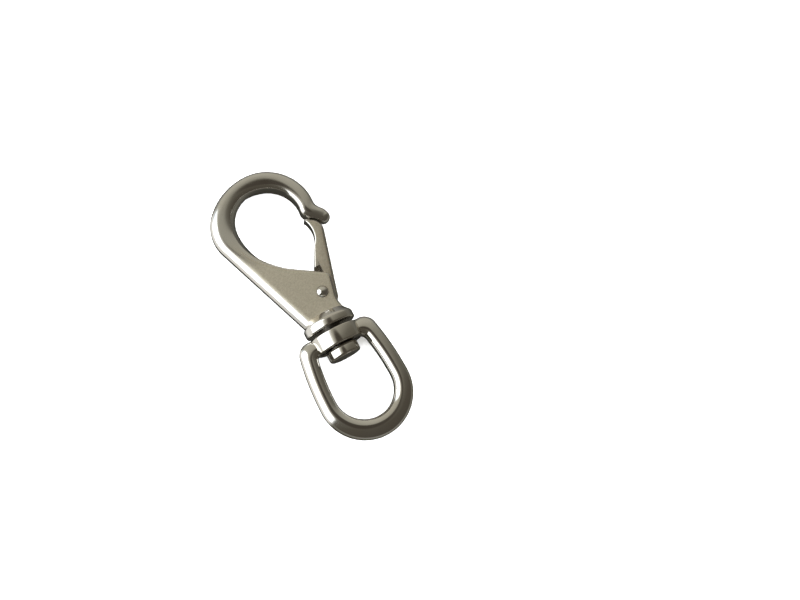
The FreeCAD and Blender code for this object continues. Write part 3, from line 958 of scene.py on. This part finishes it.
collar = make_object("hook_collar", collar_skin(), hook_steel)
paint_satin_and_shade(collar, no_satin)
place_piece(collar, "hook", "hook_body")

gate = make_object("gate_casting", rounded_plate(*gate_outline(), GATE_HALF), gate_steel)
cut_with(gate, [gate_pocket(), gate_notch()])
paint_satin_and_shade(gate, gate_satin)
place_piece(gate, "gate", "gate")

eye = make_object("eye_forging", merge(eye_skin(), boss_skin()), eye_steel)
place_piece(eye, "eye", "swivel_eye")

pin = make_object("pin_with_head", pin_skin(), pin_steel)
# painted shade on the stem, dark in the gap between the eye's boss and the collar
paint_satin_and_shade(pin, stem_painted_shade)
place_piece(pin, "hook", "swivel_pin")

rivet = make_object("rivet_with_heads", rivet_skin(), rivet_steel)
# painted shade round the rims of the rivet's heads
paint_satin_and_shade(rivet, rim_painted_shade)
place_piece(rivet, "hook", "gate_rivet")

coil_path, floor_leg_path = spring_paths()
coil = make_object("spring_coil", tube(coil_path, WIRE_R), spring_steel)
place_piece(coil, "gate", "gate_spring")
floor_leg = make_object("spring_floor_leg", tube(floor_leg_path, WIRE_R), spring_steel)
place_piece(floor_leg, "hook", "gate_spring")


# ------------------------------------------------------------------ studio, in metres
CAMERA_PLACE = (-0.0654, -0.0392, 0.3895)
CAMERA_RIGHT = (0.8685, -0.4770, 0.1350)
CAMERA_DOWN = (-0.4360, -0.8646, -0.2500)
MIDDLE = (0, 0.04, 0)
FLOOR_HALF = 3.0
FLOOR_PLACE = (0, 0.04, -0.0109)       # just under the hook's lowest point
FLOOR_GREY = (0.93, 0.93, 0.93, 1)


def camera():
    data = bpy.data.cameras.new("camera")
    data.lens = 45.0
    data.sensor_width = 36.0
    data.clip_start = 0.01
    data.clip_end = 20
    obj = bpy.data.objects.new("camera", data)
    bpy.context.scene.collection.objects.link(obj)
    right = Vector(CAMERA_RIGHT)
    ahead = right.cross(Vector(CAMERA_DOWN)).normalized()
    down = ahead.cross(right).normalized()
    right.normalize()
    turn = Matrix((right, -down, -ahead)).transposed()
    obj.matrix_world = Matrix.Translation(CAMERA_PLACE) @ turn.to_4x4()
    bpy.context.scene.camera = obj


def floor():
    """Plain pale floor. The steel doesn't mirror it: the world's table takes its place there."""
    mesh = bpy.data.meshes.new("floor")
    corners = [(-1, -1), (1, -1), (1, 1), (-1, 1)]
    mesh.from_pydata([(x * FLOOR_HALF, y * FLOOR_HALF, 0) for x, y in corners], [], [[0, 1, 2, 3]])
    obj = bpy.data.objects.new("floor", mesh)
    bpy.context.scene.collection.objects.link(obj)
    obj.location = FLOOR_PLACE
    material = bpy.data.materials.new("floor")
    material.use_nodes = True
    shader = material.node_tree.nodes["Principled BSDF"]
    shader.inputs["Base Color"].default_value = FLOOR_GREY
    shader.inputs["Roughness"].default_value = 0.9
    mesh.materials.append(material)
    obj.visible_glossy = False


def area_light(name, place, size, power, colour):
    """Square light aimed at the hook. It lights the floor, and the steel doesn't mirror it."""
    data = bpy.data.lights.new(name, "AREA")
    data.shape = "RECTANGLE"
    data.size, data.size_y = size, size
    data.energy = power
    data.color = colour
    obj = bpy.data.objects.new(name, data)
    bpy.context.scene.collection.objects.link(obj)
    obj.location = place
    obj.rotation_euler = (Vector(MIDDLE) - Vector(place)).to_track_quat("-Z", "Y").to_euler()
    obj.visible_glossy = False


# The world light. Heights are the direction's Z. Across the window, angles are in radians from its middle.
WINDOW_AT = 152.0                      # degrees about Z
WINDOW_RIGHT, WINDOW_LEFT = (-0.66, -0.48), (0.80, 0.64)
WINDOW_FOOT, WINDOW_HEAD = (-0.06, 0.02), (0.96, 0.88)
PANE = (3.3, 3.5, 3.65)
PANE_HIGH = (0.85, 0.84, 0.79)
PANE_HIGH_ENDS = (0.91, 0.76)
PANE_BLUE = (0.75, 0.9, 1.0)
BLUE_SIDE, BLUE_HEIGHT = (-0.2, -0.5), (0.36, 0.2)
OVERHEAD = (0.07, 0.06, 0.048)
OVERHEAD_ENDS = (0.952, 0.986)
HORIZON = (-0.08, 0.02)
TABLE_UNDER = (0.05, 0.048, 0.04)
TABLE_UNDER_ENDS = (-0.98, -0.2)
TABLE_GLOW = (1.0, 1.0, 0.97)          # the window's light on the table
TABLE_GLOW_ENDS = (-0.9, -0.55)
BRIGHT_AT = 100.0                      # degrees about Z of the walls' brighter half
WALL_STOPS = (
    (-1.0, (0.085, 0.076, 0.062)),
    (-0.35, (0.10, 0.09, 0.072)),
    (-0.12, (0.13, 0.122, 0.10)),
    (0.0, (0.17, 0.162, 0.133)),
    (0.15, (0.36, 0.35, 0.297)),
    (0.45, (0.47, 0.455, 0.39)),
    (1.0, (0.56, 0.545, 0.47)),
)
TABLE_STOPS = (
    (-1.0, (0.30, 0.295, 0.265)),
    (-0.3, (0.20, 0.195, 0.165)),
    (0.1, (0.17, 0.165, 0.14)),
    (1.0, (0.36, 0.355, 0.33)),
)


def studio_world():
    """Soft world light, which is all that the steel mirrors: a window, walls bright on one side, a table."""
    world = bpy.data.worlds.new("studio")
    world.use_nodes = True
    nodes = Nodes(world.node_tree)
    direction = nodes.new("ShaderNodeTexCoord").outputs["Generated"]

    def parts(degrees):
        """The direction's parts after a turn about the vertical."""
        turn = nodes.new("ShaderNodeVectorRotate", rotation_type="Z_AXIS")
        turn.inputs["Angle"].default_value = math.radians(degrees)
        nodes.link(direction, turn.inputs["Vector"])
        made = nodes.new("ShaderNodeSeparateXYZ")
        nodes.link(turn.outputs[0], made.inputs[0])
        return made.outputs

    def both(first, second):
        return nodes.calculate("MULTIPLY", first, second)

    plain, window_turned, bright_turned = parts(0), parts(-WINDOW_AT), parts(90 - BRIGHT_AT)
    high = plain["Z"]
    beside = nodes.calculate("ARCTAN2", window_turned["Y"], window_turned["X"])
    within = both(nodes.fade(beside, WINDOW_RIGHT), nodes.fade(beside, WINDOW_LEFT))

    walls = nodes.mix(nodes.fade(high, OVERHEAD_ENDS), nodes.ramp(bright_turned["Y"], WALL_STOPS), OVERHEAD)
    table = nodes.mix(nodes.fade(high, TABLE_UNDER_ENDS), TABLE_UNDER, nodes.ramp(plain["Y"], TABLE_STOPS))
    table = nodes.mix(both(within, nodes.fade(high, TABLE_GLOW_ENDS)), table, TABLE_GLOW)
    colour = nodes.mix(nodes.fade(high, HORIZON), table, walls)
    pane = nodes.mix(nodes.fade(high, PANE_HIGH_ENDS), PANE_HIGH, PANE)
    pane = nodes.mix(both(nodes.fade(beside, BLUE_SIDE), nodes.fade(high, BLUE_HEIGHT)), pane, PANE_BLUE)
    window = both(within, both(nodes.fade(high, WINDOW_FOOT), nodes.fade(high, WINDOW_HEAD)))
    background = nodes.new("ShaderNodeBackground")
    nodes.link(nodes.mix(window, colour, pane), background.inputs[0])
    nodes.link(background.outputs[0], nodes.new("ShaderNodeOutputWorld").inputs[0])
    bpy.context.scene.world = world


camera()
floor()
studio_world()
area_light("side", (-0.75, -0.12, 0.5), 0.6, 5, (0.98, 0.99, 1.0))
area_light("above", (-0.1, 0.1, 1.4), 1.8, 90, (1, 1, 1))
bpy.context.scene.view_settings.view_transform = "Standard"
